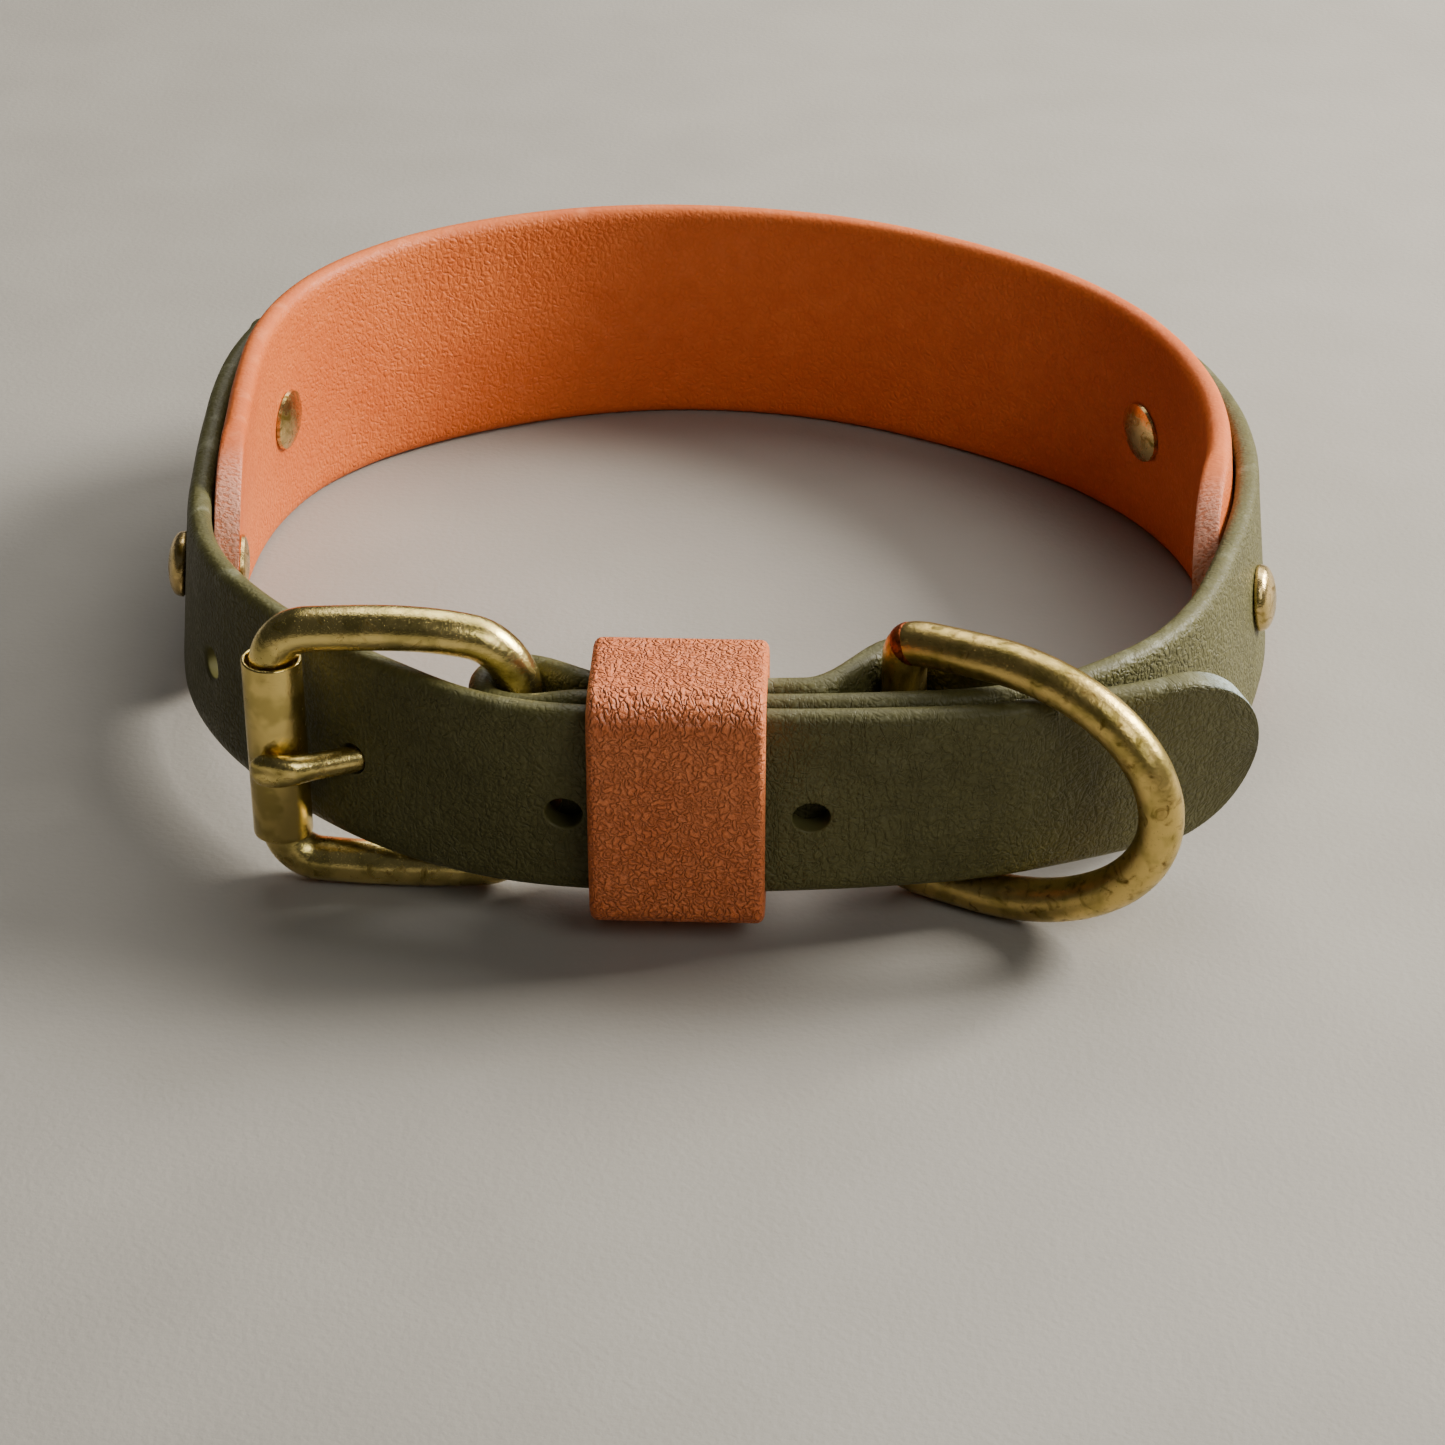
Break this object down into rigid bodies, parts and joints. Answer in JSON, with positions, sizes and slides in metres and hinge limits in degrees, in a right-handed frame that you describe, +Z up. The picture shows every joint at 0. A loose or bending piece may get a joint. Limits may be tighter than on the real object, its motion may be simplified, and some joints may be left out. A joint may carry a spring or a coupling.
{
  "type": "dog collar",
  "caption": "Buckled dog collar: wide terracotta rear strap riveted to narrow olive straps, roller buckle with prong, leather keeper and D-ring.",
  "frame": {"origin": "on the ground under the middle of the collar's bounding box", "axes": "+Z up, the buckle and D-ring face -Y, +X to the right of someone who looks at the buckle"},
  "size_m": [0.1116, 0.116, 0.0291],
  "materials": {
    "terracotta_strap": "pebbled, satin",
    "olive_strap": "fine grain, satin",
    "antique_brass": "antique, slightly tarnished"
  },
  "bodies": {
    "collar": {"panel": "terracotta_strap", "hole_strap": "olive_strap", "buckle_strap": "olive_strap", "keeper": "terracotta_strap", "buckle_frame": "antique_brass", "prong": "antique_brass", "rivet_right_front": "antique_brass", "rivet_right_back": "antique_brass", "rivet_left_back": "antique_brass", "rivet_left_front": "antique_brass", "fold_rivet_keeper": "antique_brass", "fold_rivet_ring": "antique_brass"},
    "d_ring": {"d_ring": "antique_brass"},
    "roller": {"roller": "antique_brass"}
  },
  "joints": [
    {"name": "d_ring_swing", "type": "hinge", "parent": "collar", "child": "d_ring", "pos_m": [0.01638, -0.04447, 0.0143], "axis": [0, 0, -1], "range_deg": [0, 98]},
    {"name": "roller_spin", "type": "hinge", "parent": "collar", "child": "roller", "pos_m": [-0.0407, -0.04264, 0.0143], "axis": [0, 0, 1], "continuous": true}
  ]
}
